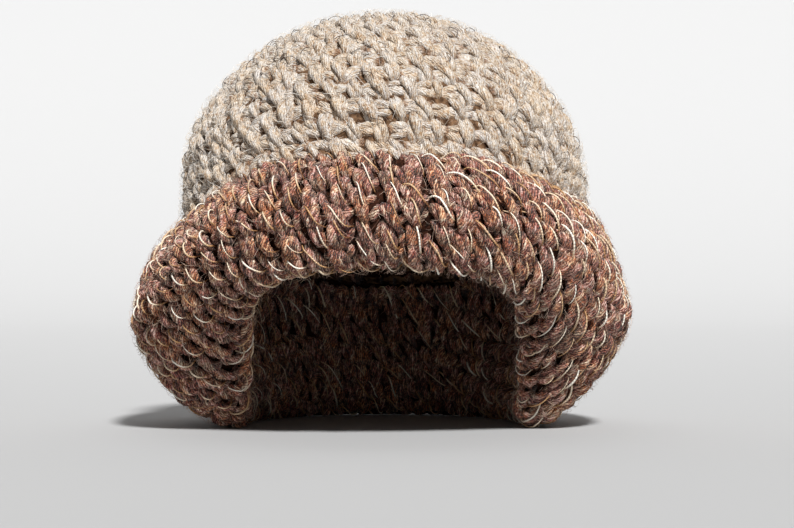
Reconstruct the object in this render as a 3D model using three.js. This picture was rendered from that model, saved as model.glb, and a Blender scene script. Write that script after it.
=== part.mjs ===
// A hand-made brimmed hat of chunky yarn: a beige crown, open below, and a brown brim that is wound
// inwards into a fat roll. The roll is raised over the forehead and comes down over ears and nape.
// Millimetres, +Z up, the face side towards -Y. The hat stands on the lowest stretch of its brim.
import * as THREE from 'three';
import { mergeVertices } from 'three/addons/utils/BufferGeometryUtils.js';

// Driving dimensions
const WALL = 8; // thickness of the worked fabric
const HALF_WIDTH = 92.4; // crown, outside, from the middle to an ear
const HALF_LENGTH = 107; // crown, outside, from the middle to the forehead
const DOME_HEIGHT = 72; // from the widest level of the crown to its top
const WIDEST_LEVEL = 114; // height of the crown's widest level above the floor, at the ears
const CROWN_LEAN = THREE.MathUtils.degToRad(13); // the crown leans back, so its front is higher
const DOME_POWER = 1.9; // 2 is an ellipse, less is a more pointed shoulder

const SEAM_GAP = 0.3; // between the crown's lower edge and the brim's upper edge
const LIP_GAP = 3; // between the free edge of the wound fabric and the layer above it, inside
const LIP_DEPTH = 12; // how far that gap can be seen into, from the head's side
const REST_HALF = 3; // half the width of the flattened strip that rests on the floor
const FOLD_RISE = 12; // from the bottom of the roll to its innermost point
const FOLD_BLEND = 42; // height over which the roll's inside comes back to the head's surface
const WIDEST_SHARE = 0.51; // where the roll is widest, as a share of its height

// The roll at stations round the head, in degrees from the forehead, the wearer's right side first.
// seam: height of its upper edge, where it joins the crown. bottom: height of its lowest edge.
// reach: how far it stands out from the crown. tuck: where its lowest edge lies, outwards from the
// crown's outside. inside: its innermost point. shoulder and belly: powers of its upper and lower
// quarters, where 2 is an ellipse and less is a flatter slope.
const ROLL = [
  { angle: -180, seam: 76, bottom: 0, reach: 23, tuck: -16, inside: -25, shoulder: 1.5, belly: 1.7 },
  { angle: -135, seam: 82, bottom: 0, reach: 22.5, tuck: -21, inside: -30, shoulder: 1.5, belly: 1.65 },
  { angle: -95, seam: 89, bottom: 0, reach: 22, tuck: -25, inside: -32, shoulder: 1.6, belly: 1.5 },
  { angle: -80, seam: 92, bottom: 0, reach: 22.7, tuck: -25, inside: -32, shoulder: 1.6, belly: 1.5 },
  { angle: -60, seam: 99, bottom: 28, reach: 25, tuck: -15, inside: -25, shoulder: 1.45, belly: 1.6 },
  { angle: -42, seam: 112.5, bottom: 55, reach: 26, tuck: -2, inside: -13, shoulder: 1.43, belly: 1.65 },
  { angle: -22, seam: 121.5, bottom: 68, reach: 26.5, tuck: 7, inside: -8, shoulder: 1.43, belly: 1.65 },
  { angle: 0, seam: 122.5, bottom: 71.5, reach: 27, tuck: 9, inside: -8, shoulder: 1.43, belly: 1.65 },
  { angle: 22, seam: 121.5, bottom: 68, reach: 26.5, tuck: 7, inside: -8, shoulder: 1.43, belly: 1.65 },
  { angle: 42, seam: 114, bottom: 55, reach: 24.5, tuck: -2, inside: -13, shoulder: 1.4, belly: 1.6 },
  { angle: 60, seam: 106, bottom: 28, reach: 22, tuck: -15, inside: -25, shoulder: 1.35, belly: 1.5 },
  { angle: 80, seam: 100.5, bottom: 0, reach: 20, tuck: -26, inside: -33, shoulder: 1.33, belly: 1.4 },
  { angle: 95, seam: 97, bottom: 0, reach: 19.5, tuck: -26, inside: -33, shoulder: 1.33, belly: 1.4 },
  { angle: 135, seam: 84, bottom: 0, reach: 21.5, tuck: -21, inside: -30, shoulder: 1.45, belly: 1.6 },
  { angle: 180, seam: 76, bottom: 0, reach: 23, tuck: -16, inside: -25, shoulder: 1.5, belly: 1.7 },
];

// Soft dents in the crown, where it slumps: centre in the crown's own frame, radius and depth.
const DENTS = [
  { at: new THREE.Vector3(-68, -12, 48), radius: 26, depth: 4 },
  { at: new THREE.Vector3(72, -12, 42), radius: 28, depth: 5 },
  { at: new THREE.Vector3(88, -8, 20), radius: 16, depth: 2.5 },
  { at: new THREE.Vector3(20, 60, 58), radius: 30, depth: 4 },
];

const AROUND = 60; // columns of both pieces
const SIDE_ROWS = 2;
const DOME_ROWS = 10;
const SHOULDER_STEPS = 5;
const BELLY_STEPS = 6;
const FOLD_STEPS = 3;
const INSIDE_STEPS = 4;

// The roll's row at any angle, each column on a smooth curve that never overshoots the table.
function rollAt(turn) {
  const angle = THREE.MathUtils.euclideanModulo(THREE.MathUtils.radToDeg(turn) + 180, 360) - 180;
  const last = ROLL.length - 1;
  let k = 0;
  while (k < last - 1 && ROLL[k + 1].angle < angle) k += 1;
  const span = ROLL[k + 1].angle - ROLL[k].angle;
  const s = (angle - ROLL[k].angle) / span;
  const row = {};
  for (const column of Object.keys(ROLL[0])) {
    const rise = (i) => (ROLL[i + 1][column] - ROLL[i][column]) / (ROLL[i + 1].angle - ROLL[i].angle);
    const slope = (i) => {
      if (i === 0 || i === last) return 0;
      const product = rise(i - 1) * rise(i);
      return product > 0 ? (2 * product) / (rise(i - 1) + rise(i)) : 0;
    };
    const ease = s * s * (3 - 2 * s);
    row[column] = ROLL[k][column] * (1 - ease) + ROLL[k + 1][column] * ease
      + span * s * (1 - s) * ((1 - s) * slope(k) - s * slope(k + 1));
  }
  return row;
}

// A quarter of a superellipse from (0, 1) to (1, 0), at share 0 to 1 of its sweep.
function quarter(share, power) {
  const sweep = share * Math.PI / 2;
  return [Math.sin(sweep) ** (2 / power), Math.max(0, Math.cos(sweep)) ** (2 / power)];
}

// A point of the crown, set in from its outside. The crown is shaped upright, then leans back.
function crownPoint(turn, out, height, inset) {
  const point = new THREE.Vector3(
    (HALF_WIDTH - inset) * out * Math.sin(turn),
    -(HALF_LENGTH - inset) * out * Math.cos(turn),
    height,
  );
  for (const dent of DENTS) {
    const near = Math.exp(-point.distanceToSquared(dent.at) / dent.radius ** 2);
    const push = 1 - (dent.depth * near) / HALF_WIDTH;
    point.x *= push;
    point.y *= push;
  }
  return point.applyAxisAngle(new THREE.Vector3(1, 0, 0), -CROWN_LEAN)
    .add(new THREE.Vector3(0, 0, WIDEST_LEVEL));
}

// The crown's lower edge, where the brim begins.
function seamPoint(turn, inset) {
  const back = -(HALF_LENGTH - inset) * Math.cos(turn);
  const drop = rollAt(turn).seam - WIDEST_LEVEL + back * Math.sin(CROWN_LEAN);
  return crownPoint(turn, 1, drop / Math.cos(CROWN_LEAN), inset);
}

// One face of the crown, from its lower edge to the top.
function crownLine(turn, inset) {
  const edge = seamPoint(turn, inset);
  const widest = crownPoint(turn, 1, 0, inset);
  const line = [];
  for (let i = 0; i < SIDE_ROWS; i += 1) {
    line.push(edge.clone().lerp(widest, i / SIDE_ROWS));
  }
  for (let i = 0; i <= DOME_ROWS; i += 1) {
    const [up, out] = quarter(i / DOME_ROWS, DOME_POWER);
    line.push(crownPoint(turn, i === DOME_ROWS ? 0 : out, up * (DOME_HEIGHT - inset), inset));
  }
  return line;
}

// The crown's section at one column: up its outside and down its inside.
function crownSection(turn) {
  return [...crownLine(turn, 0), ...crownLine(turn, WALL).reverse()];
}

// The roll's outline in its own plane, as pairs of outward distance and height: out from the seam,
// down, under the fold, up the inside to the free edge, and in along the gap above that edge.
function rollLine(row) {
  const top = row.seam - SEAM_GAP;
  const widest = row.bottom + WIDEST_SHARE * (row.seam - row.bottom);
  const turnIn = row.tuck + REST_HALF;
  const turnUp = row.tuck - REST_HALF;
  const line = [];
  for (let i = 0; i <= SHOULDER_STEPS; i += 1) {
    const [out, up] = quarter(i / SHOULDER_STEPS, row.shoulder);
    line.push([row.reach * out, widest + (top - widest) * up]);
  }
  for (let i = 1; i <= BELLY_STEPS; i += 1) {
    const [down, out] = quarter(i / BELLY_STEPS, row.belly);
    line.push([turnIn + (row.reach - turnIn) * out, widest + (row.bottom - widest) * down]);
  }
  line.push([turnUp, row.bottom]);
  const foldTop = row.bottom + FOLD_RISE;
  for (let i = 1; i <= FOLD_STEPS; i += 1) {
    const [back, down] = quarter(i / FOLD_STEPS, 2);
    line.push([turnUp + (row.inside - turnUp) * back, foldTop - FOLD_RISE * down]);
  }
  const lip = top - WALL - LIP_GAP;
  const blend = Math.min(FOLD_BLEND, lip - foldTop - WALL);
  for (let i = 1; i <= INSIDE_STEPS; i += 1) {
    const s = i / INSIDE_STEPS;
    line.push([row.inside + (-WALL - row.inside) * s * s * (3 - 2 * s), foldTop + blend * s]);
  }
  line.push([-WALL, lip], [LIP_DEPTH - WALL, lip], [LIP_DEPTH - WALL, lip + LIP_GAP]);
  return line;
}

// The brim's section at one column: down the layer under the crown, then back round the roll.
function brimSection(turn) {
  const row = rollAt(turn);
  const seam = seamPoint(turn, 0);
  const outward = new THREE.Vector3(
    Math.sin(turn) / HALF_WIDTH,
    -Math.cos(turn) / (HALF_LENGTH * Math.cos(CROWN_LEAN)),
    0,
  ).normalize();
  const place = ([out, height]) => new THREE.Vector3(seam.x, seam.y, height)
    .addScaledVector(outward, out);
  const edge = seamPoint(turn, WALL);
  edge.z -= SEAM_GAP;
  const root = edge.clone();
  root.z -= WALL;
  return [edge, root, ...rollLine(row).map(place).reverse()];
}

// Joins closed sections round the hat into one closed surface, its faces pointing out.
function loft(sectionAt) {
  const sections = Array.from({ length: AROUND }, (_, i) => sectionAt((i / AROUND) * 2 * Math.PI));
  const corners = [];
  const triangle = (a, b, c) => {
    const flat = a.distanceTo(b) < 1e-4 || b.distanceTo(c) < 1e-4 || c.distanceTo(a) < 1e-4;
    if (!flat) corners.push(...a.toArray(), ...b.toArray(), ...c.toArray());
  };
  sections.forEach((here, i) => {
    const next = sections[(i + 1) % AROUND];
    here.forEach((point, k) => {
      const above = (k + 1) % here.length;
      triangle(point, next[k], next[above]);
      triangle(point, next[above], here[above]);
    });
  });
  const geometry = new THREE.BufferGeometry();
  geometry.setAttribute('position', new THREE.Float32BufferAttribute(corners, 3));
  return mergeVertices(geometry, 1e-3);
}

function fabricMesh(name, sectionAt, colour) {
  const geometry = loft(sectionAt);
  geometry.computeVertexNormals();
  const mesh = new THREE.Mesh(geometry, new THREE.MeshStandardMaterial({
    color: colour, roughness: 0.95, metalness: 0,
  }));
  mesh.name = name;
  return mesh;
}

const hat = new THREE.Group();
hat.add(fabricMesh('crown', crownSection, 0xc9b79a));
hat.add(fabricMesh('brim', brimSection, 0x6f4a3a));

// The origin is on the floor, under the middle of the hat.
const box = new THREE.Box3().setFromObject(hat);
hat.position.set(-(box.min.x + box.max.x) / 2, -(box.min.y + box.max.y) / 2, -box.min.z);
hat.updateMatrixWorld(true);

export default hat;
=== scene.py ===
# %% [markdown]
# # A chunky brimmed hat, worked from thick yarn
# The hat has two pieces: a beige crown, and a brown brim wound into a fat roll. The CAD solids give
# their true form. A fabric picture wrapped round them would do from afar, but up close the lumps of
# yarn are the look of such a hat. So this lesson dresses the solids in worked yarn: every stitch is
# a real strand with its own plies, laid on the surface by one small Geometry Nodes tree.

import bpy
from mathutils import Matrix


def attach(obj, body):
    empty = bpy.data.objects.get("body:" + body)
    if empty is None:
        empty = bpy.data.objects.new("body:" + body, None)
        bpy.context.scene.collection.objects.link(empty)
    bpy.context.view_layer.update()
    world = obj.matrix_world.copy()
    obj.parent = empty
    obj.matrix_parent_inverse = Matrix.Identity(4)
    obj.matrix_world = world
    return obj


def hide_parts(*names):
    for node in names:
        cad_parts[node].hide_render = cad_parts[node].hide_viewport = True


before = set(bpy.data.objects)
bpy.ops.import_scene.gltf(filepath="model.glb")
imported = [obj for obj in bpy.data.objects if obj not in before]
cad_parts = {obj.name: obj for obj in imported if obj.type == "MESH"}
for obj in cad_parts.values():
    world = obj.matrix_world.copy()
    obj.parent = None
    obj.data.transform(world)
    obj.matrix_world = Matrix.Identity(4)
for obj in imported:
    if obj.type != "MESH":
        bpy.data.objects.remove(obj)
print("solids:", ", ".join(sorted(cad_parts)))

# %% Tools and units
import math

import bmesh
import bpy
import numpy as np
from mathutils import Vector
from mathutils.bvhtree import BVHTree

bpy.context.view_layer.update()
MM = 0.001
TURN = 2 * math.pi
rng = np.random.default_rng(7)

# %% [markdown]
# ## Reading the form from the frame
# Stitches have to lie on the hat's surface, so they need an address on it: how far round, and how
# far along from the seam between crown and brim. The solids could be unwrapped by hand, but rays
# are simpler and follow the solids if those change: each ray finds the skin from a known direction.

# %% A search tree for each solid
SAME_POINT = 1e-6  # corners closer than this, in metres, are one corner


def merged(node):
    """A copy of a CAD node with its loose triangles joined."""
    mesh = bmesh.new()
    mesh.from_mesh(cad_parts[node].data)
    bmesh.ops.remove_doubles(mesh, verts=mesh.verts, dist=SAME_POINT)
    mesh.normal_update()
    return mesh


crown_solid, brim_solid = merged("crown"), merged("brim")
crown_tree, brim_tree = BVHTree.FromBMesh(crown_solid), BVHTree.FromBMesh(brim_solid)
print("solid faces:", len(crown_solid.faces), len(brim_solid.faces))

# %% The crown's lower edge gives its centre and its lean
SEAM_CEILING = 130 * MM  # the crown's lower edge lies below this, its domed inside above
FACING_DOWN = -0.8


def on_lower_edge(face):
    return face.normal.z < FACING_DOWN and face.calc_center_median().z < SEAM_CEILING


edge_corners = [v for v in crown_solid.verts if any(on_lower_edge(face) for face in v.link_faces)]
edge_points = np.array([corner.co for corner in edge_corners])
crown_centre = edge_points.mean(axis=0)
lean_axis = np.linalg.svd(edge_points - crown_centre)[2][2]
lean_axis *= math.copysign(1, lean_axis[2])
side_axis = np.array([1.0, 0.0, 0.0])
back_axis = np.cross(lean_axis, side_axis)
print("crown leans back by", round(math.degrees(math.asin(lean_axis[1])), 1), "degrees")

# %% Addresses round the hat start at the back, so that the join is out of sight
COLUMNS = 144
ROWS = 72
rounds = np.linspace(0, 1, COLUMNS + 1)


def bearing(u):
    """The angle from the front, towards +X, at a share u of the way round from the back."""
    return (u - 0.5) * TURN


def respaced(points, count):
    """The same path with count evenly spaced points, and its length."""
    steps = np.linalg.norm(np.diff(points, axis=0), axis=1)
    run = np.concatenate([[0], np.cumsum(steps)])
    even = np.linspace(0, run[-1], count)
    return np.stack([np.interp(even, run, points[:, k]) for k in range(3)], axis=1), run[-1]


print("every skin has", COLUMNS, "columns of", ROWS, "points")


# %% Where the crown's lower edge lies at each bearing
FACING_OUT = 0.5  # an edge corner with a face that looks outwards more than this is an outer one


def edge_tilt(outer):
    """The angle from the lean axis down to the crown's lower edge, at each bearing."""
    around, tilt = [], []
    for corner in edge_corners:
        offset = np.array(corner.co) - crown_centre
        facing = [np.dot(face.normal, offset) for face in corner.link_faces]
        if (max(facing) > FACING_OUT * np.linalg.norm(offset)) == outer:
            x, y, up = offset @ side_axis, offset @ back_axis, offset @ lean_axis
            around.append(math.atan2(x, -y))
            tilt.append(math.atan2(math.hypot(x, y), up))
    order = np.argsort(around)
    return np.array(around)[order], np.array(tilt)[order]


print("edge corners, outside and inside:", len(edge_tilt(True)[0]), len(edge_tilt(False)[0]))

# %% The crown's skins, outside and inside, from the seam to the top
FAR = 0.4  # metres, well outside the hat
EDGE_MARGIN = 0.035  # radians above the edge, where every ray surely meets the wall
CROWN_TUCK = 11 * MM  # the outer skin goes on this far past the edge, into the brim
INNER_TUCK = 7 * MM  # and the inner skin this far


def crown_grid(outer, tuck):
    """Points of the crown's skin. Its first rows go on past the edge by tuck, into the brim."""
    around, tilts = edge_tilt(outer)
    grid, lengths = [], []
    for u in rounds:
        turn = (bearing(u) + math.pi) % TURN - math.pi
        lowest = np.interp(turn, around, tilts, period=TURN) - EDGE_MARGIN
        across = math.sin(turn) * side_axis - math.cos(turn) * back_axis
        path = []
        for tilt in np.linspace(lowest, 0, ROWS):
            ray = math.sin(tilt) * across + math.cos(tilt) * lean_axis
            start = crown_centre + ray * FAR if outer else crown_centre
            hit = crown_tree.ray_cast(Vector(start), Vector(-ray if outer else ray), FAR)[0]
            path.append(np.array(hit))
        drop = path[0] - path[2]
        drop *= tuck / np.linalg.norm(drop)
        even, length = respaced(np.array([path[0] + drop, *path]), ROWS)
        grid.append(even)
        lengths.append(length)
    return np.array(grid), np.array(lengths)


crown_out, crown_run = crown_grid(True, CROWN_TUCK)
crown_in, crown_in_run = crown_grid(False, INNER_TUCK)
shortest, longest = round(crown_run.min() * 1000), round(crown_run.max() * 1000)
print("crown, edge to top with its tuck, mm:", shortest, "to", longest)

# %% The brim's skin, from the seam outwards, down, under and up inside to its free edge
LIP_BELOW = 11.3 * MM  # the free edge lies this far below the seam
TUCK = 10 * MM  # the fabric that goes on out of sight at both ends
BRIM_RAYS = 120
RAY_START = 90 * MM  # from the roll's core, well outside it
TOP_BAND = 1.2 * MM  # points this close below the highest one lie on the seam's flat
CORE = 0.65  # the roll's core, as a share of the way out through its section
PAST_SEAM = 0.03  # radians past the seam, where rays surely meet the roll
SEAM_DIP, LIP_DIP = 3 * MM, 2 * MM  # how far the tucked ends go down


def cut_points(solid, normal):
    """Where a solid's edges cross the upright plane through the crown's centre."""
    end_shade = np.array([[v.co for v in edge.verts] for edge in solid.edges])
    side = (end_shade - crown_centre) @ normal
    crossing = side[:, 0] * side[:, 1] < 0
    end_shade, side = end_shade[crossing], side[crossing]
    share = side[:, 0] / (side[:, 0] - side[:, 1])
    return end_shade[:, 0] + share[:, None] * (end_shade[:, 1] - end_shade[:, 0])


def brim_path(turn):
    """Points round the roll's section at one bearing, and their length."""
    outward = np.array([math.sin(turn), -math.cos(turn), 0.0])
    points = cut_points(brim_solid, np.array([math.cos(turn), math.sin(turn), 0.0]))
    points = points[(points - crown_centre) @ outward > 0]
    far, high = (points - crown_centre) @ outward, points[:, 2]
    top = high > high.max() - TOP_BAND
    core = np.array([far.min() + CORE * np.ptp(far), (high.min() + high.max()) / 2])
    seam = np.array([far[top].max(), high.max()])
    lip = np.array([far[top].min(), high.max() - LIP_BELOW])
    first = math.atan2(core[1] - seam[1], seam[0] - core[0])
    last = math.atan2(core[1] - lip[1], lip[0] - core[0])
    last += TURN if last < first else 0

    def place(across, height):
        return crown_centre * [1, 1, 0] + outward * across + np.array([0, 0, height])

    path = [place(seam[0] - TUCK, seam[1] - SEAM_DIP)]
    for angle in np.linspace(first + PAST_SEAM, last, BRIM_RAYS):
        aim = outward * math.cos(angle) - np.array([0, 0, math.sin(angle)])
        hit = brim_tree.ray_cast(Vector(place(*core) + aim * RAY_START), Vector(-aim))[0]
        path.append(np.array(hit))
    path.append(place(lip[0] + TUCK, lip[1] - LIP_DIP))
    return respaced(np.array(path), ROWS)


brim_paths = [brim_path(bearing(u)) for u in rounds]
brim_out = np.array([path for path, length in brim_paths])
brim_run = np.array([length for path, length in brim_paths])
shortest, longest = round(brim_run.min() * 1000), round(brim_run.max() * 1000)
print("brim, seam to free edge with both tucks, mm:", shortest, "to", longest)

# %% [markdown]
# ## Skins
# A skin is a thin sheet over one side of the fabric. Strands could be placed on it face by face,
# but its UV map can hold the address instead: U round the hat, V along from the seam. Geometry
# Nodes can then ask for the point at any address. The skins are scaffolding and are removed later.

# %% Outward directions
AT_A_POLE = 1e-4  # a last row no wider than this has drawn together to one point


def outwards(grid, flip=False):
    """Unit directions out of the surface, smooth across the join at the back."""
    loop = grid[:-1]
    around = np.roll(loop, -1, axis=0) - np.roll(loop, 1, axis=0)
    away = np.cross(around, np.gradient(loop, axis=1))
    away /= np.maximum(np.linalg.norm(away, axis=2, keepdims=True), 1e-12)
    away = -away if flip else away
    if np.ptp(loop[:, -1], axis=0).max() < AT_A_POLE:
        away[:, -1] = away[:, -2].mean(axis=0)
    away /= np.linalg.norm(away, axis=2, keepdims=True)
    return np.vstack([away, away[:1]])


crown_away = outwards(crown_out)
crown_in_away = outwards(crown_in, flip=True)
brim_away = outwards(brim_out, flip=True)
for label, away in (("crown", crown_away), ("inside", crown_in_away), ("brim", brim_away)):
    print("away from the", label, "at the front:", np.round(away[COLUMNS // 2, 20], 2))


# %% A skin as a mesh, with its addresses
def quads(columns, rows, closed):
    """Corner numbers of a grid of quads, in columns of rows points."""
    wide = columns if closed else columns - 1
    return [
        (i * rows + k, (i + 1) % columns * rows + k,
         (i + 1) % columns * rows + k + 1, i * rows + k + 1)
        for i in range(wide) for k in range(rows - 1)
    ]


def placed(name, data):
    """A new object at the origin, in the scene."""
    holder = bpy.data.objects.new(name, data)
    bpy.context.scene.collection.objects.link(holder)
    return holder


def skin(name, grid, away):
    columns, rows = grid.shape[:2]
    faces = quads(columns, rows, closed=False)
    mesh = bpy.data.meshes.new(name)
    mesh.from_pydata(grid.reshape(-1, 3).tolist(), [], faces)
    addresses = np.stack(np.meshgrid(rounds, np.linspace(0, 1, rows), indexing="ij"), axis=-1)
    corners = addresses.reshape(-1, 2)[np.array(faces).reshape(-1)]
    mesh.uv_layers.new(name="UVMap").data.foreach_set("uv", corners.ravel())
    mesh.attributes.new("away", "FLOAT_VECTOR", "POINT").data.foreach_set("vector", away.ravel())
    return placed(name, mesh)


crown_skin = skin("crown_skin", crown_out, crown_away)
crown_in_skin = skin("crown_in_skin", crown_in, crown_in_away)
brim_skin = skin("brim_skin", brim_out, brim_away)
print("skins:", crown_skin.name, crown_in_skin.name, brim_skin.name)

# %% [markdown]
# ## One tree for every strand
# Stitches, cross bars, the lustre thread and stray fibres are all short strands on a skin. They
# could be modelled once and instanced, but a rigid copy would cut through the tight roll. So the
# tree starts each strand as a line at its site, works out its arc in flat measures, and looks up
# every point on the skin. Then a ring drawn along the line makes it a tube.


# %% Small helpers for building node trees
def plug(tree, socket, value):
    if isinstance(value, bpy.types.NodeSocket):
        tree.links.new(value, socket)
    else:
        socket.default_value = value


def add(tree, kind, wires=None, **settings):
    """A new node with its settings made and its inputs wired, by name or by number."""
    node = tree.nodes.new(kind)
    for key, value in settings.items():
        setattr(node, key, value)
    for name, value in (wires or {}).items():
        shown = [s for s in node.inputs if s.enabled]
        by_number = isinstance(name, int)
        plug(tree, shown[name] if by_number else next(s for s in shown if s.name == name), value)
    return node


def result(node, name=None):
    return next(s for s in node.outputs if s.enabled and name in (None, s.name))


print("node trees are built with plug, add and result")


# %% Sums in a node tree
def calc(tree, operation, *values):
    return add(tree, "ShaderNodeMath", dict(enumerate(values)), operation=operation).outputs[0]


def total(tree, first, *others):
    for other in others:
        first = calc(tree, "ADD", first, other)
    return first


def product(tree, first, *others):
    for other in others:
        first = calc(tree, "MULTIPLY", first, other)
    return first


def split(tree, vector):
    return add(tree, "ShaderNodeSeparateXYZ", {0: vector}).outputs


def attribute(tree, name, kind="FLOAT_VECTOR"):
    return result(add(tree, "GeometryNodeInputNamedAttribute", {"Name": name}, data_type=kind))


def store(tree, geometry, name, value, kind="FLOAT"):
    return result(add(tree, "GeometryNodeStoreNamedAttribute",
                      {"Geometry": geometry, "Name": name, "Value": value},
                      data_type=kind, domain="POINT"))


print("sums are built with calc, total and product")

# %% The strand tree's inputs: sizes in metres, shares and counts
STRAND_SIZES = {
    "Points On Strand": 9, "Sides": 6, "Radius": 3 * MM, "Orbit": 0.0, "Turns": 0.0,
    "Start Spread": 1.0, "Depth": -4 * MM, "Arch": 2 * MM, "Arch Power": 0.6, "Rise": 0.0,
    "Side Step": 0.0, "Sway": 0.0, "End Size": 0.55,
}


def new_strand_tree():
    """An empty tree with its inputs and output, and the sockets that its inputs give."""
    tree = bpy.data.node_groups.new("strands_on_a_skin", "GeometryNodeTree")
    face = tree.interface
    face.new_socket("Sites", in_out="INPUT", socket_type="NodeSocketGeometry")
    face.new_socket("Skin", in_out="INPUT", socket_type="NodeSocketObject")
    face.new_socket("Finish", in_out="INPUT", socket_type="NodeSocketMaterial")
    for name, value in STRAND_SIZES.items():
        kind = "NodeSocketInt" if isinstance(value, int) else "NodeSocketFloat"
        face.new_socket(name, in_out="INPUT", socket_type=kind).default_value = value
    face.new_socket("Strands", in_out="OUTPUT", socket_type="NodeSocketGeometry")
    return tree, {s.name: s for s in tree.nodes.new("NodeGroupInput").outputs}


print("a strand has", len(STRAND_SIZES), "sizes")

# %% The course of a strand: a leaning line that bows up in its middle
SKIN_END = 0.002  # addresses stop this share short of the skin's ends


def strand_course(tree, given):
    """At each point of a strand: its address, its height over the skin, and its measures."""
    share = attribute(tree, "share", "FLOAT")
    place, unit, form = (split(tree, attribute(tree, name)) for name in ("place", "unit", "form"))
    bow = calc(tree, "SINE", product(tree, share, math.pi))
    bow = calc(tree, "POWER", calc(tree, "MAXIMUM", bow, 0.0), given["Arch Power"])
    swell = product(tree, bow, calc(tree, "SUBTRACT", 1.0, given["End Size"]))
    size = product(tree, total(tree, given["End Size"], swell), form[2])
    along = calc(tree, "SUBTRACT", share, 0.5)
    start = product(tree, calc(tree, "SUBTRACT", place[2], 0.5), given["Start Spread"])
    winding = total(tree, unit[2], product(tree, along, given["Turns"]), start)
    winding = product(tree, winding, TURN)
    orbit = product(tree, given["Orbit"], size)
    sway = product(tree, calc(tree, "SINE", product(tree, share, TURN)), given["Sway"])
    aside = total(tree, product(tree, calc(tree, "COSINE", winding), orbit),
                  total(tree, sway, given["Side Step"]))
    height = total(tree, given["Depth"], product(tree, bow, given["Arch"]),
                   product(tree, share, given["Rise"]),
                   product(tree, calc(tree, "SINE", winding), orbit))

    squares = total(tree, product(tree, form[0], form[0]), product(tree, form[1], form[1]))
    span = calc(tree, "SQRT", squares)
    aside = calc(tree, "DIVIDE", aside, span)
    x = total(tree, product(tree, along, form[1]), product(tree, aside, form[0]))
    y = calc(tree, "SUBTRACT", product(tree, along, form[0]), product(tree, aside, form[1]))
    u = calc(tree, "FRACT", total(tree, place[0], product(tree, x, unit[0])))
    v = total(tree, place[1], product(tree, y, unit[1]))
    v = calc(tree, "MINIMUM", calc(tree, "MAXIMUM", v, SKIN_END), 1 - SKIN_END)
    address = result(add(tree, "ShaderNodeCombineXYZ", {0: u, 1: v}))
    return address, height, {"along": product(tree, share, span), "lift": bow, "size": size}


print("addresses run from", SKIN_END, "to", 1 - SKIN_END)


# %% From an address to a point in space, and from a line to a tube
def point_over_skin(tree, skin_object, address, height):
    shape = result(add(tree, "GeometryNodeObjectInfo", {"Object": skin_object}), "Geometry")
    flat = attribute(tree, "UVMap")

    def on_skin(value):
        wires = {"Mesh": shape, "Value": value, "UV Map": flat, "Sample UV": address}
        return result(add(tree, "GeometryNodeSampleUVSurface", wires, data_type="FLOAT_VECTOR"))

    spot = on_skin(result(add(tree, "GeometryNodeInputPosition")))
    away = on_skin(attribute(tree, "away"))
    lifted = add(tree, "ShaderNodeVectorMath", {0: away, "Scale": height}, operation="SCALE")
    return result(add(tree, "ShaderNodeVectorMath", {0: spot, 1: result(lifted)}, operation="ADD"))


def tubes_along(tree, strands, given):
    ring = add(tree, "GeometryNodeCurvePrimitiveCircle",
               {"Resolution": given["Sides"], "Radius": 1.0})
    round_it = result(add(tree, "GeometryNodeInputPosition"))
    ring = store(tree, result(ring), "girth", round_it, "FLOAT_VECTOR")
    size = product(tree, attribute(tree, "size", "FLOAT"), given["Radius"])
    tubes = add(tree, "GeometryNodeCurveToMesh",
                {"Curve": strands, "Profile Curve": ring, "Scale": size, "Fill Caps": True})
    return result(add(tree, "GeometryNodeSetShadeSmooth", {"Geometry": result(tubes)}))


print("strands follow their skin and become tubes with closed ends")


# %% The whole tree
def strand_tree():
    tree, given = new_strand_tree()
    line = result(add(tree, "GeometryNodeCurvePrimitiveLine"))
    line = result(add(tree, "GeometryNodeResampleCurve",
                      {"Curve": line, "Count": given["Points On Strand"]}))
    copies = add(tree, "GeometryNodeInstanceOnPoints", {"Points": given["Sites"], "Instance": line})
    strands = result(add(tree, "GeometryNodeRealizeInstances", {"Geometry": result(copies)}))
    share = add(tree, "GeometryNodeSplineParameter").outputs["Factor"]
    strands = store(tree, strands, "share", share)
    address, height, measures = strand_course(tree, given)
    point = point_over_skin(tree, given["Skin"], address, height)
    strands = result(add(tree, "GeometryNodeSetPosition", {"Geometry": strands, "Position": point}))
    for name, value in measures.items():
        strands = store(tree, strands, name, value)
    tubes = tubes_along(tree, strands, given)
    for name in ("place", "unit", "form", "share", "size"):
        tubes = result(add(tree, "GeometryNodeRemoveAttribute", {"Geometry": tubes, "Name": name}))
    tubes = result(add(tree, "GeometryNodeRealizeInstances", {"Geometry": tubes}))
    tubes = add(tree, "GeometryNodeSetMaterial", {"Geometry": tubes, "Material": given["Finish"]})
    tree.links.new(result(tubes), tree.nodes.new("NodeGroupOutput").inputs[0])
    return tree


STRANDS = strand_tree()
SOCKETS = {item.name: item.identifier for item in STRANDS.interface.items_tree}
print("strand tree:", len(STRANDS.nodes), "nodes")

# %% Laying one batch of strands
FLOOR = 0.25 * MM  # yarn that rests on the floor is pressed flat just above it
PLY_TONE = 0.37  # how far the tone moves on from ply to ply
MEASURES = (("place", 0), ("unit", 3), ("form", 6))  # vectors, and their first column in a site


def pressed_flat(mesh):
    """Nothing lies lower than the floor."""
    spots = np.empty(len(mesh.vertices) * 3)
    mesh.vertices.foreach_get("co", spots)
    spots = spots.reshape(-1, 3)
    spots[:, 2] = np.maximum(spots[:, 2], FLOOR)
    mesh.vertices.foreach_set("co", spots.ravel())


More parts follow.
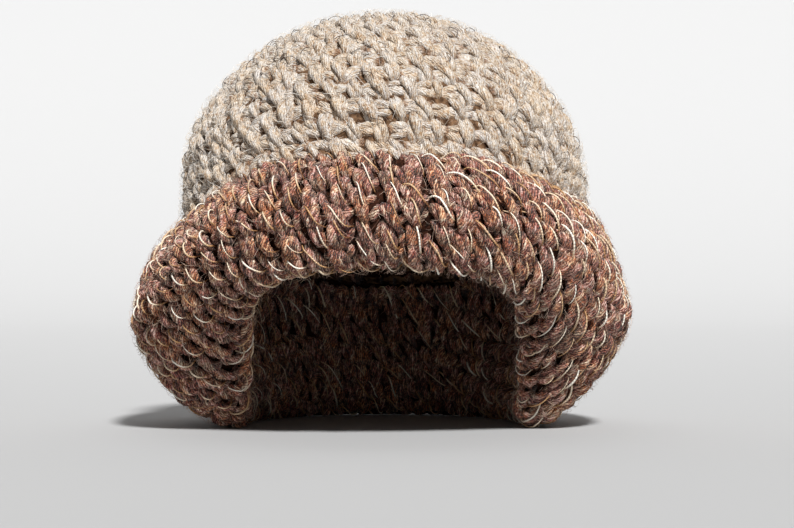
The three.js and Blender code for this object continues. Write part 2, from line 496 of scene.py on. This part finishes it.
def lay(name, sites, scaffold, finish, plies=1, **sizes):
    """Strands at the sites, one for each ply, as one plain mesh."""
    table = np.repeat(np.array(sites), plies, axis=0)
    table[:, 5] = np.arange(len(table)) % plies / plies  # where in the twist a ply starts
    table[:, 9] = (table[:, 9] + table[:, 5] * PLY_TONE) % 1
    points = bpy.data.meshes.new(name)
    points.from_pydata(np.zeros((len(table), 3)).tolist(), [], [])
    for label, first in MEASURES:
        data = points.attributes.new(label, "FLOAT_VECTOR", "POINT").data
        data.foreach_set("vector", np.ascontiguousarray(table[:, first:first + 3]).ravel())
    points.attributes.new("tone", "FLOAT", "POINT").data.foreach_set("value", table[:, 9].copy())
    piece = placed(name, points)
    maker = piece.modifiers.new("strands", "NODES")
    maker.node_group = STRANDS
    for label, value in {**STRAND_SIZES, **sizes, "Skin": scaffold, "Finish": finish}.items():
        maker[SOCKETS[label]] = value
    graph = bpy.context.evaluated_depsgraph_get()
    made = bpy.data.meshes.new_from_object(piece.evaluated_get(graph),
                                           preserve_all_data_layers=True, depsgraph=graph)
    piece.modifiers.clear()
    piece.data = made
    bpy.data.meshes.remove(points)
    made.name = name
    pressed_flat(made)
    triangles = sum(len(p.vertices) - 2 for p in made.polygons)
    print(f"{name}: {len(table)} strands, {triangles} triangles")
    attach(piece, "root")
    return piece


# %% [markdown]
# ## Yarn
# The beige yarn is cream with tan and brown fibres twisted in. The brown yarn is a heather of rose
# brown, rust and grey, and its many thin plies cross the strand. A painted picture would blur, so
# each strand carries its own measures, along and round, and the shader twists plies from them.

# %% Colours, given as they look on a screen
WHITE, BLACK = (1, 1, 1, 1), (0, 0, 0, 1)


def screen(*colour):
    """Red, green and blue from 0 to 255 as the linear colour that the shader wants."""
    linear = (((c / 255 + 0.055) / 1.055) ** 2.4 if c > 10 else c / 3294 for c in colour)
    return tuple(linear) + (1.0,)


def stops(*pairs):
    """Places and screen colours, as a ramp takes them."""
    return [(position, screen(*colour)) for position, colour in pairs]


def ramp(tree, factor, colours, smooth=False):
    node = add(tree, "ShaderNodeValToRGB", {"Fac": factor})
    node.color_ramp.interpolation = "EASE" if smooth else "LINEAR"
    while len(node.color_ramp.elements) < len(colours):
        node.color_ramp.elements.new(0.5)
    for element, (position, colour) in zip(node.color_ramp.elements, colours):
        element.position = position
        element.color = colour
    return node.outputs["Color"]


def blend(tree, mode, factor, one, other):
    node = tree.nodes.new("ShaderNodeMix")
    node.data_type = "RGBA"
    node.blend_type = mode
    for number, value in ((0, factor), (6, one), (7, other)):
        plug(tree, node.inputs[number], value)
    return node.outputs[2]


print("cream on a screen is", np.round(screen(236, 228, 210)[:3], 2), "in light")


# %% What every finish starts from
def new_finish(name, roughness, **values):
    """A material, its node tree and its shader, with plain values on the shader's own sockets."""
    material = bpy.data.materials.new(name)
    material.use_nodes = True
    surface = material.node_tree.nodes["Principled BSDF"]
    for label, value in {"Roughness": roughness, **values}.items():
        surface.inputs[label].default_value = value
    return material, material.node_tree, surface


def coat(tree, surface, colour, height=None, distance=MM, strength=1.0):
    """Gives the shader its colour and, with a height, its fine relief."""
    tree.links.new(colour, surface.inputs["Base Color"])
    if height is not None:
        bump = add(tree, "ShaderNodeBump",
                   {"Strength": strength, "Distance": distance, "Height": height})
        tree.links.new(bump.outputs["Normal"], surface.inputs["Normal"])


def measure(tree, label, output="Fac"):
    return add(tree, "ShaderNodeAttribute", attribute_name=label).outputs[output]


def noise(tree, vector, scale, detail=3.0, rough=0.6):
    wires = {"Vector": vector, "Scale": scale, "Detail": detail, "Roughness": rough}
    return add(tree, "ShaderNodeTexNoise", wires).outputs["Fac"]


print("finishes are built with new_finish and coat")

# %% The twist: where the grooves between plies run, and which ply a point is on
WANDER = 1.7  # how far, in plies, a groove strays from its even course
FIBRES_ALONG = 500.0  # how fast single fibres change along the strand, for each metre


def twist(tree, where, plies, pitch):
    """The height of the ply, a number that is its own, and the course that its fibres take."""
    girth = split(tree, measure(tree, "girth", "Vector"))
    round_share = calc(tree, "DIVIDE", calc(tree, "ARCTAN2", girth[1], girth[0]), TURN)
    along, tone = measure(tree, "along"), measure(tree, "tone")
    stray = calc(tree, "SUBTRACT", noise(tree, where, 450.0, 2.0), 0.5)
    phase = product(tree, total(tree, round_share, calc(tree, "DIVIDE", along, pitch)), plies)
    phase = total(tree, phase, product(tree, stray, WANDER))
    ply = calc(tree, "ABSOLUTE", calc(tree, "SINE", product(tree, phase, math.pi)))
    number = calc(tree, "MODULO", calc(tree, "FLOOR", phase), plies)
    number = total(tree, number, product(tree, tone, 91.0))
    own = add(tree, "ShaderNodeTexWhiteNoise", {"W": number}, noise_dimensions="1D")
    fibres = add(tree, "ShaderNodeCombineXYZ", {
        0: product(tree, phase, 2.0), 1: product(tree, along, FIBRES_ALONG),
        2: product(tree, tone, 70.0)})
    return ply, result(own, "Value"), result(fibres)


print("grooves stray by up to", WANDER / 2, "plies")


# %% The yarn shader
def yarn(name, fleece, flecks, dyes, shade, plies, pitch, groove_shade, end_shade, ply_tint, crest_highlight, carve):
    """fleece: stops of the main colour. flecks: single fibres. dyes: what a whole strand leans to.
    groove_shade and end_shade: how far painted shade, in the shade colour, darkens between plies
    and where a strand sinks into the fabric. ply_tint: how far a ply's number shifts the fleece.
    crest_highlight: how far a ply's height lightens it, a painted highlight. carve: depth of the
    relief."""
    material, tree, surface = new_finish(name, 0.85, **{
        "Specular IOR Level": 0.25, "Sheen Weight": 0.15, "Sheen Roughness": 0.6})
    where = add(tree, "ShaderNodeTexCoord").outputs["Object"]
    ply, own, fibres = twist(tree, where, plies, pitch)
    fibre = noise(tree, fibres, 1.9, 4.0, 0.75)
    # the last term lightens each ply where it stands highest: a painted highlight
    mixed = total(tree, product(tree, fibre, 0.45), product(tree, noise(tree, where, 800.0), 0.55),
                  product(tree, calc(tree, "SUBTRACT", own, 0.5), ply_tint),
                  product(tree, calc(tree, "SUBTRACT", ply, 0.6), crest_highlight))
    colour = ramp(tree, mixed, fleece)
    fleck = ramp(tree, noise(tree, fibres, 3.7, 2.0, 0.5), [(0.53, BLACK), (0.58, WHITE)])
    tint = ramp(tree, noise(tree, where, 130.0, 2.0), flecks)
    colour = blend(tree, "MIX", product(tree, fleck, 0.6), colour, tint)
    dye = ramp(tree, noise(tree, where, 95.0, 2.0), dyes)
    colour = blend(tree, "MULTIPLY", 1.0, colour, dye)

    # fuzz lies over the grooves in places, and hides their painted shade and their relief there
    clear = ramp(tree, noise(tree, where, 300.0), [(0.40, WHITE), (0.60, (0.15, 0.15, 0.15, 1))])
    # painted shade: the grooves between plies are darkened towards the shade colour
    dark = ramp(tree, ply, [(0.05, shade), (0.65, WHITE)])
    colour = blend(tree, "MULTIPLY", product(tree, clear, groove_shade), colour, dark)
    # painted shade: a strand darkens towards the shade colour where its arch sinks into the fabric
    painted_end_shade = ramp(tree, measure(tree, "lift"), [(0.0, shade), (0.8, WHITE)], smooth=True)
    colour = blend(tree, "MULTIPLY", end_shade, colour, painted_end_shade)
    crisp = total(tree, product(tree, clear, 0.7), 0.3)
    relief = total(tree, product(tree, ply, crisp), product(tree, fibre, 0.8))
    coat(tree, surface, colour, relief, carve)
    return material


print("the yarn shader is ready")

# %% The two yarns
# in each yarn, shade is the colour of the painted shade between plies and at strand ends, and the
# crest setting sets a painted highlight
beige_yarn = yarn(
    "beige_yarn",
    fleece=stops((0.37, (154, 118, 84)), (0.44, (208, 190, 166)), (0.52, (224, 218, 210)),
                 (0.62, (231, 229, 227))),
    flecks=stops((0.40, (180, 140, 98)), (0.50, (106, 78, 58)), (0.62, (204, 174, 134))),
    dyes=stops((0.38, (250, 240, 226)), (0.50, (255, 254, 252)), (0.62, (246, 242, 238))),
    shade=screen(170, 130, 94), plies=9, pitch=-20 * MM, groove_shade=0.6, end_shade=0.88, ply_tint=0.14,
    crest_highlight=0.03, carve=0.6 * MM)
brown_yarn = yarn(
    "brown_yarn",
    fleece=stops((0.38, (30, 15, 9)), (0.44, (94, 48, 34)), (0.50, (164, 101, 77)),
                 (0.57, (224, 182, 158)), (0.65, (255, 246, 232))),
    flecks=stops((0.40, (222, 140, 70)), (0.50, (128, 126, 116)), (0.60, (156, 54, 50))),
    dyes=stops((0.38, (255, 222, 188)), (0.46, (255, 248, 234)), (0.53, (248, 216, 218)),
               (0.62, (206, 198, 184))),
    shade=screen(44, 21, 11), plies=8, pitch=-12 * MM, groove_shade=0.88, end_shade=0.97, ply_tint=0.2,
    crest_highlight=0.12, carve=0.75 * MM)
print("yarns:", beige_yarn.name, brown_yarn.name)

# %% [markdown]
# ## The ground under the stitches
# Between the lumps of yarn one sees deeper fabric lying in shade, not the floor behind the hat. The
# CAD solid itself could show there, but it lies at the height of the stitches' tops. So a plain
# closed shell lies a few millimetres further down, in dark colours that are painted shade. It also
# carries the form where strands are far apart.


# %% The ground's finish
def ground_finish(name, low, high):
    material, tree, surface = new_finish(name, 0.95, **{"Specular IOR Level": 0.1})
    where = add(tree, "ShaderNodeTexCoord").outputs["Object"]
    fibres = add(tree, "ShaderNodeTexNoise", {"Vector": where, "Scale": 420.0, "Detail": 4.0})
    loops = add(tree, "ShaderNodeTexVoronoi", {"Vector": where, "Scale": 190.0})
    fibres, loops = fibres.outputs["Fac"], loops.outputs["Distance"]
    # low and high are dark colours: the ground is painted in shade, as fabric that lies in shadow
    # between lumps
    colour = ramp(tree, fibres, [(0.35, low), (0.7, high)])
    coat(tree, surface, colour, calc(tree, "SUBTRACT", fibres, loops), 1.5 * MM)
    return material


beige_ground = ground_finish("beige_ground", screen(56, 38, 26), screen(130, 100, 74))
brown_ground = ground_finish("brown_ground", screen(22, 11, 6), screen(64, 35, 23))
print("grounds:", beige_ground.name, brown_ground.name)


# %% A closed shell
AT_THE_TOP = 1e-5  # the crown's rows all end in one point, and corners this close are one


def ring_faces(rows):
    """Faces of a closed ring of closed sections, each a loop of rows points."""
    firsts = [i * rows for i in range(COLUMNS)]
    return quads(COLUMNS, rows, closed=True) + [
        (first + rows - 1, after + rows - 1, after, first)
        for first, after in zip(firsts, firsts[1:] + firsts[:1])
    ]


def shell(name, points, finish):
    """A closed piece whose faces all point outwards."""
    mesh = bpy.data.meshes.new(name)
    mesh.from_pydata(points.reshape(-1, 3).tolist(), [], ring_faces(points.shape[1]))
    work = bmesh.new()
    work.from_mesh(mesh)
    bmesh.ops.remove_doubles(work, verts=work.verts, dist=AT_THE_TOP)
    bare_edges = [edge for edge in work.edges if not edge.link_faces]
    bmesh.ops.delete(work, geom=bare_edges, context="EDGES")
    bmesh.ops.recalc_face_normals(work, faces=work.faces)
    for face in work.faces:
        face.smooth = True
    open_edges = sum(not edge.is_manifold for edge in work.edges)
    work.to_mesh(mesh)
    mesh.materials.append(finish)
    piece = placed(name, mesh)
    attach(piece, "root")
    print(f"{name}: {len(mesh.polygons)} faces, {open_edges} open edges")
    return piece


print("a section of", ROWS, "points gives", len(ring_faces(ROWS)), "faces")

# %% The crown's ground
CROWN_GROUND = 4.0 * MM  # how far the ground lies below the top of the stitches
INNER_GROUND = 2.4 * MM
FOOT = 6 * MM  # the wall goes on down into the brim by this much

outer = (crown_out - crown_away * CROWN_GROUND)[:-1]
foot = outer[:, :1] - outer[:, 2:3]
foot *= FOOT / np.linalg.norm(foot, axis=2, keepdims=True)
outer = np.concatenate([outer[:, :1] + foot, outer], axis=1)
inner = (crown_in - crown_in_away * INNER_GROUND)[:-1]
crown_ground = shell("crown_ground", np.concatenate([outer, inner[:, ::-1]], axis=1), beige_ground)
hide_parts("crown")

# %% The brim's ground
BRIM_GROUND = 5.8 * MM
PRESSED = 2.0 * MM  # how high the ground lies where the hat's weight presses the fabric flat
LIGHT_STOP = 0.35 * MM  # one row goes down further, so that no light comes through below
RISE = 1.2  # how fast the ground rises beside the flat strip, for each metre of the roll's height
FLAT_WITHIN = 0.05 * MM  # rows this close to the section's lowest belong to the flat strip

# the ground lies less deep near the seam and at the free edge
depths = np.interp(np.arange(ROWS), [0, 4, 11, ROWS - 8, ROWS - 1], [0.5, 0.5, 1, 1, 0.6])
roll = (brim_out - brim_away * BRIM_GROUND * depths[:, None])[:-1]
heights = brim_out[:-1, :, 2]
roll[:, :, 2] = np.maximum(np.minimum(roll[:, :, 2], PRESSED + RISE * heights), PRESSED)
first_down = np.argmax(heights <= heights.min(axis=1, keepdims=True) + FLAT_WITHIN, axis=1)
strip_edge = (np.arange(COLUMNS), first_down)
level = roll[:, :, 2]
level[strip_edge] = np.minimum(level[strip_edge], LIGHT_STOP + RISE * heights[strip_edge])
brim_ground = shell("brim_ground", roll, brown_ground)
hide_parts("brim")

# %% [markdown]
# ## Stitches of the crown
# The crown is worked in rounds. Each round is a ring of plump leaf-shaped lumps, half a stitch out
# of step with the round below, with two short bars of yarn lying across each gap. A flat grid of
# lumps would be simpler, but it would crowd at the top. So each round has its own count, with
# fewer and fewer stitches towards the top, which is how such a crown is drawn together by hand.


# %% One strand's row of numbers
SHORTEST_ROUND = 40 * MM  # near the top a round counts as no shorter than this


def ring_length(grid, share):
    """How long the skin is round the hat, at a share of the way along it."""
    line = grid[:, int(round(share * (ROWS - 1)))]
    return np.linalg.norm(np.diff(line, axis=0), axis=1).sum()


def site(u, v, grid, run, length, lean, size, tone):
    """Place, unit, form and tone. The unit turns metres round and along into shares of a skin."""
    column, line = int(u % 1 * COLUMNS), int(round(v * (ROWS - 1)))
    pace = np.linalg.norm(grid[column + 1, line] - grid[column, line]) * COLUMNS
    pace = max(pace, SHORTEST_ROUND)
    reach = np.interp(u % 1, rounds, run)
    return (u % 1, v, rng.random(), 1 / pace, 1 / reach, 0, length, lean, size, tone)


seam_share = CROWN_TUCK / crown_run.mean()
print("seam, mm round:", round(ring_length(crown_out, seam_share) * 1000))


# %% Rounds of stitches, fewer and fewer as the rounds get shorter
def staggered_rounds(grid, levels, pitch, fewest=6):
    """Where the stitches of each round sit, half a stitch out of step with the round before."""
    count = round(max(ring_length(grid, level) for level in levels) / pitch)
    places = np.arange(count) / count
    for level in levels:
        places = places + np.diff(places, append=places[0] + 1) / 2
        spare = len(places) - max(fewest, round(ring_length(grid, level) / pitch))
        if spare > 0:
            skipped = ((np.arange(spare) + rng.random()) * len(places) / spare).astype(int)
            places = np.delete(places, skipped % len(places))
        for _ in range(3):  # the stitches beside a skipped one close the gap
            before, after = np.roll(places, 1), np.roll(places, -1)
            before[0] -= 1
            after[-1] += 1
            places = places / 2 + (before + after) / 4
        yield level, places


CROWN_ROUND = 9.3 * MM
CROWN_PITCH = 12.2 * MM
CROWN_FOOT = 7 / 165  # the first round, a little way inside the brim
CLOSING = 0.955  # the last round, where the crown is drawn together
crown_rounds = round((CLOSING - CROWN_FOOT) * crown_run.mean() / CROWN_ROUND)
levels = np.linspace(CROWN_FOOT, CLOSING, crown_rounds)
print("crown:", crown_rounds, "rounds")

# %% Sites on the crown
CROWN_STITCH = -15 * MM  # below nought, because it runs down from its top end
CROWN_LEAN = 2.6 * MM
BAR = 9.0 * MM
BAR_STEPS = (-0.01, 0.01)  # shares of the skin, one bar below the gap's middle and one above

crown_sites, bar_sites = [], []
for level, places in staggered_rounds(crown_out, levels, CROWN_PITCH):
    for place, wide in zip(places, np.diff(places, append=places[0] + 1)):
        u = place + rng.normal(0, 0.08) * wide
        size = 1.04 + rng.normal(0, 0.1)
        crown_sites.append(site(
            u, level + rng.normal(0, 0.006), crown_out, crown_run, CROWN_STITCH * size,
            CROWN_LEAN + rng.normal(0, 2.4 * MM), size, rng.random()))
        for step in BAR_STEPS:
            bar_sites.append(site(
                place + 0.5 * wide, level + step + rng.normal(0, 0.005), crown_out, crown_run,
                rng.normal(0, 3.0 * MM), BAR, rng.uniform(0.8, 1.25), rng.random()))
print("crown:", len(crown_sites), "stitches,", len(bar_sites), "bars")

# %% The crown's strands
crown_stitches = lay("crown_stitches", crown_sites, crown_skin, beige_yarn, plies=3, **{
    "Radius": 2.05 * MM, "Orbit": 1.9 * MM, "Turns": 0.4, "Depth": -7.4 * MM, "Arch": 3.8 * MM,
    "Arch Power": 0.7, "Points On Strand": 9, "Sides": 5, "End Size": 0.42, "Sway": 0.3 * MM})
crown_bars = lay("crown_bars", bar_sites, crown_skin, beige_yarn, **{
    "Radius": 1.75 * MM, "Depth": -5.5 * MM, "Arch": 1.7 * MM, "Points On Strand": 5, "Sides": 5,
    "End Size": 0.75})

# %% [markdown]
# ## Stitches of the brim
# The brim is the same work in brown, with longer stitches that lean. The crown's rounds could go on
# over it, but the roll takes in more fabric at the sides than at the front. So its rounds keep one
# spacing from the seam, and each simply ends where it goes under the free edge.

# %% Sites on the brim
BRIM_ROUNDS = 26
BRIM_ROUND = 10.4 * MM
BRIM_AROUND = 74
BRIM_STITCH = 18 * MM
BRIM_LEAN = 9 * MM
DRIFT = 0.03  # stitches that each round moves on from the one before
UNDER_ROW = 9  # from this round on the fabric faces down or inwards
THREADED, THREADED_UNDER = 0.9, 0.55  # the share of stitches with an arc of lustre thread

upper_sites, under_sites, filling_sites, thread_sites = [], [], [], []
for row in range(BRIM_ROUNDS):
    down = TUCK + (row - 0.1) * BRIM_ROUND
    for k in range(BRIM_AROUND):
        u = (k + DRIFT * row + rng.normal(0, 0.09)) / BRIM_AROUND % 1
        reach = np.interp(u, rounds, brim_run)
        if down > reach - TUCK * 0.6:
            continue
        v = (down + rng.normal(0, 0.8 * MM)) / reach
        size = 1 + rng.normal(0, 0.08)
        lean = BRIM_LEAN + rng.normal(0, 2.2 * MM)
        batch = upper_sites if row < UNDER_ROW else under_sites
        batch.append(site(u, v, brim_out, brim_run, BRIM_STITCH * size, lean, size, rng.random()))
        filling_sites.append(site(
            u + 0.5 / BRIM_AROUND, v, brim_out, brim_run, rng.uniform(7, 13) * MM,
            rng.normal(0, 4 * MM), rng.uniform(0.8, 1.2), rng.random()))
        if rng.random() < (THREADED if row < UNDER_ROW else THREADED_UNDER):
            thread_sites.append(site(
                u, v + rng.normal(0, 0.008), brim_out, brim_run, rng.uniform(9, 18) * MM,
                lean + rng.normal(0, 2.5 * MM), rng.uniform(0.6, 1.25), rng.random()))
print("brim:", len(upper_sites), "stitches on top,", len(under_sites), "below and inside,",
      len(thread_sites), "arcs of thread")

# %% The brim's strands
BRIM_STRAND = {
    "Radius": 2.1 * MM, "Orbit": 1.7 * MM, "Turns": 0.35, "Start Spread": 0.35, "Depth": -8.2 * MM,
    "Arch": 5.6 * MM, "Arch Power": 0.9, "Points On Strand": 9, "Sides": 5, "End Size": 0.4,
    "Sway": 0.4 * MM}
UNDER_STRAND = {
    **BRIM_STRAND, "Radius": 1.85 * MM, "Orbit": 1.65 * MM, "Arch": 6.1 * MM, "Arch Power": 1.1}
brim_stitches = lay("brim_stitches", upper_sites, brim_skin, brown_yarn, plies=2, **BRIM_STRAND)
brim_underside = lay("brim_underside", under_sites, brim_skin, brown_yarn, plies=2, **UNDER_STRAND)
brim_filling = lay("brim_filling", filling_sites, brim_skin, brown_yarn, **{
    "Radius": 1.9 * MM, "Depth": -7.7 * MM, "Arch": 2.3 * MM, "Points On Strand": 6, "Sides": 5,
    "End Size": 0.6, "Sway": 0.6 * MM})

# %% [markdown]
# ## The lustre thread
# A thin shiny thread, cream to gold, is worked in with the brown yarn. It lies along one edge of
# most lumps as a slim arc. A bright line in the yarn's colour wouldn't stand off the lumps or catch
# the light, so it is the same kind of strand with a small radius, set to one side.


# %% Lustre thread
DARKER_ALONG = -22.0  # for each metre: a thread is brightest where it starts
TWISTS_ALONG = 5200.0  # radians for each metre


def lustre_finish():
    material, tree, surface = new_finish("lustre_thread", 0.38, **{"Specular IOR Level": 0.6})
    tone, lift, along = (measure(tree, label) for label in ("tone", "lift", "along"))
    # the lift term makes an arc paler where it stands highest and darker where it sinks into the
    # yarn: painted highlight and shade; tone and DARKER_ALONG are the thread's own colour
    mixed = total(tree, product(tree, tone, 0.55), product(tree, along, DARKER_ALONG),
                  product(tree, lift, 0.45))
    colour = ramp(tree, mixed, stops((0.08, (124, 82, 50)), (0.32, (190, 146, 98)),
                                     (0.52, (228, 204, 172)), (0.76, (252, 246, 232))))
    twisted = calc(tree, "SINE", product(tree, along, TWISTS_ALONG))
    coat(tree, surface, colour, twisted, 0.2 * MM, strength=0.5)
    return material


lustre_thread = lay("lustre_thread", thread_sites, brim_skin, lustre_finish(), **{
    "Radius": 0.37 * MM, "Depth": -5.2 * MM, "Arch": 5.5 * MM, "Arch Power": 0.5,
    "Points On Strand": 10, "Sides": 4, "End Size": 0.8, "Side Step": 2.1 * MM, "Sway": 0.3 * MM})

# %% [markdown]
# ## The inside
# The hollow side of the crown shows the backs of the stitches: low bars in rounds. The ground
# alone would look like felt there, so the same strands are laid across instead of along.

# %% Inside of the crown
INNER_LEVELS = np.linspace(0.03, 0.96, 18)
INNER_PITCH = 13 * MM
INNER_BAR = 12.5 * MM

inside_sites = []
for level, places in staggered_rounds(crown_in, INNER_LEVELS, INNER_PITCH):
    for place in places:
        inside_sites.append(site(
            place + rng.normal(0, 0.0008), level + rng.normal(0, 0.004), crown_in, crown_in_run,
            rng.normal(1.5, 1.0) * MM, INNER_BAR, rng.uniform(0.9, 1.1), rng.random()))
crown_inside = lay("crown_inside", inside_sites, crown_in_skin, beige_yarn, **{
    "Radius": 3.0 * MM, "Depth": -3.4 * MM, "Arch": 1.4 * MM, "Points On Strand": 6, "Sides": 6,
    "End Size": 0.7})

# %% [markdown]
# ## Fuzz
# Loose fibres stand off the yarn and soften the outline. A hair system could grow them, but they
# have to end up as plain mesh. So they are strands an eighth of a millimetre thick with one end
# free, scattered with a fixed seed, and paler than most of the yarn that they leave.


# %% Finishes of loose fibres
def loose_finish(name, dark, pale):
    material, tree, surface = new_finish(name, 0.7)
    coat(tree, surface, ramp(tree, measure(tree, "tone"), [(0.0, dark), (1.0, pale)]))
    return material


beige_fibre = loose_finish("beige_fibre", screen(206, 186, 160), screen(255, 252, 246))
brown_fibre = loose_finish("brown_fibre", screen(110, 70, 52), screen(226, 200, 180))
print("loose fibres:", beige_fibre.name, brown_fibre.name)

# %% Fuzz
LONGEST_ROUND = 0.8  # metres, more than any round of the hat
FIBRE_SPREAD = 3 * MM


def fuzz(name, count, grid, run, scaffold, finish, low, high):
    """Fibres scattered evenly over a skin, from a low share of the way along it to a high one."""
    sites = []
    while len(sites) < count:
        u, v = rng.random(), rng.uniform(low, high)
        if rng.random() < ring_length(grid, v) / LONGEST_ROUND:
            size = 0.3 + 1.2 * rng.random() ** 2.5
            sites.append(site(u, v, grid, run, rng.normal(0, FIBRE_SPREAD) * size,
                              rng.normal(0, FIBRE_SPREAD) * size, size, rng.random()))
    return lay(name, sites, scaffold, finish, **{
        "Radius": 0.065 * MM, "Depth": -2.4 * MM, "Arch": 1.2 * MM, "Rise": 4.2 * MM,
        "Points On Strand": 3, "Sides": 3, "End Size": 0.5})


crown_fuzz = fuzz("crown_fuzz", 8800, crown_out, crown_run, crown_skin, beige_fibre, 0.06, 0.99)
brim_fuzz = fuzz("brim_fuzz", 9800, brim_out, brim_run, brim_skin, brown_fibre, 0.06, 0.9)

# %% A few dark hairs caught in the beige yarn
HAIRS = 170
HAIR_SPREAD = 6 * MM

hair, _, _ = new_finish("dark_hair", 0.6, **{"Base Color": screen(52, 34, 26)})
hair_sites = [
    site(rng.random(), rng.uniform(0.07, 0.93), crown_out, crown_run,
         rng.normal(0, HAIR_SPREAD), rng.normal(0, HAIR_SPREAD), 1, rng.random())
    for _ in range(HAIRS)
]
dark_hairs = lay("dark_hairs", hair_sites, crown_skin, hair, **{
    "Radius": 0.16 * MM, "Depth": -3.0 * MM, "Arch": 3.6 * MM, "Points On Strand": 8, "Sides": 4,
    "End Size": 0.8, "Sway": 1.2 * MM})

# %% The scaffolding goes
for scaffold in (crown_skin, crown_in_skin, brim_skin):
    bpy.data.objects.remove(scaffold)

# %% [markdown]
# ## Floor, light and camera
# The hat stands by itself on a plain pale floor that curves up behind it. A large soft lamp alone
# would flatten the stitches. So a key light like a hazy sun, high in front and a little from the
# right, gives the crisp shade between them, a pale room fills the rest, and a lamp of its own keeps
# the background pale.

# %% Floor, in metres
FLOOR_SIDE, FLOOR_FRONT = 4, -4
BEND_START, BEND = 1.6, 1.2  # where the floor begins to curve up, and the radius of the curve
WALL_TOP = 5

floor_points = []
for x in (-FLOOR_SIDE, FLOOR_SIDE):
    floor_points += [(x, FLOOR_FRONT, 0)]
    floor_points += [(x, BEND_START + BEND * math.sin(a), BEND - BEND * math.cos(a))
                     for a in np.linspace(0, math.pi / 2, 12)]
    floor_points += [(x, BEND_START + BEND, WALL_TOP)]
half = len(floor_points) // 2
floor_mesh = bpy.data.meshes.new("floor")
floor_mesh.from_pydata(floor_points, [],
                       [(k, k + half, k + half + 1, k + 1) for k in range(half - 1)])
floor_mesh.shade_smooth()
paper, _, _ = new_finish("pale_paper", 0.9, **{"Base Color": (0.45, 0.45, 0.45, 1)})
floor_mesh.materials.append(paper)
floor = placed("floor", floor_mesh)
print("floor:", len(floor_mesh.polygons), "strips")

# %% The pale room
ROOM_GLOW = 0.14

world = bpy.data.worlds.new("pale_room")
world.use_nodes = True
room = world.node_tree.nodes["Background"]
room.inputs["Color"].default_value = WHITE
room.inputs["Strength"].default_value = ROOM_GLOW
bpy.context.scene.world = world
print("world:", world.name)

# %% Lamps
SUN_POWER, SUN_WIDTH = 5.0, 7  # the width is an angle in degrees, as wide as a hazy sun looks
SUN_DIRECTION = (-0.22, 0.97, -0.9)
BACKDROP_POWER, BACKDROP_SIZE = 11.5, 2.0
BACKDROP_PLACE, BACKDROP_DIRECTION = (0, 0.8, 2.4), (0, 2.0, -1.6)


def shine(light, place, direction):
    """Puts a light in its place and points it."""
    holder = placed(light.name, light)
    holder.location = place
    holder.rotation_euler = Vector(direction).to_track_quat("-Z", "Y").to_euler()


sun = bpy.data.lights.new("key", "SUN")
sun.energy = SUN_POWER
sun.angle = math.radians(SUN_WIDTH)
shine(sun, (0, 0, 0), SUN_DIRECTION)
backdrop = bpy.data.lights.new("backdrop", "AREA")
backdrop.energy = BACKDROP_POWER
backdrop.size = BACKDROP_SIZE
shine(backdrop, BACKDROP_PLACE, BACKDROP_DIRECTION)
bpy.context.scene.view_settings.view_transform = "Standard"  # the default one greys pale yarn
print("lamps:", sun.name, "and", backdrop.name)

# %% Camera
CAMERA_AWAY = 1.2
CAMERA_HEIGHT = 0.074
LENS, FILM_WIDTH = 119.3, 36  # millimetres
SHIFT = 0.0192  # the hat stands a little left of the middle of the picture

camera_data = bpy.data.cameras.new("camera")
camera_data.sensor_width = FILM_WIDTH
camera_data.lens = LENS
camera_data.shift_x = SHIFT
camera = placed("camera", camera_data)
camera.location = (0, -CAMERA_AWAY, CAMERA_HEIGHT)
camera.rotation_euler = (math.pi / 2, 0, 0)
bpy.context.scene.camera = camera
print("camera:", CAMERA_AWAY, "m away, level,", CAMERA_HEIGHT, "m above the floor")
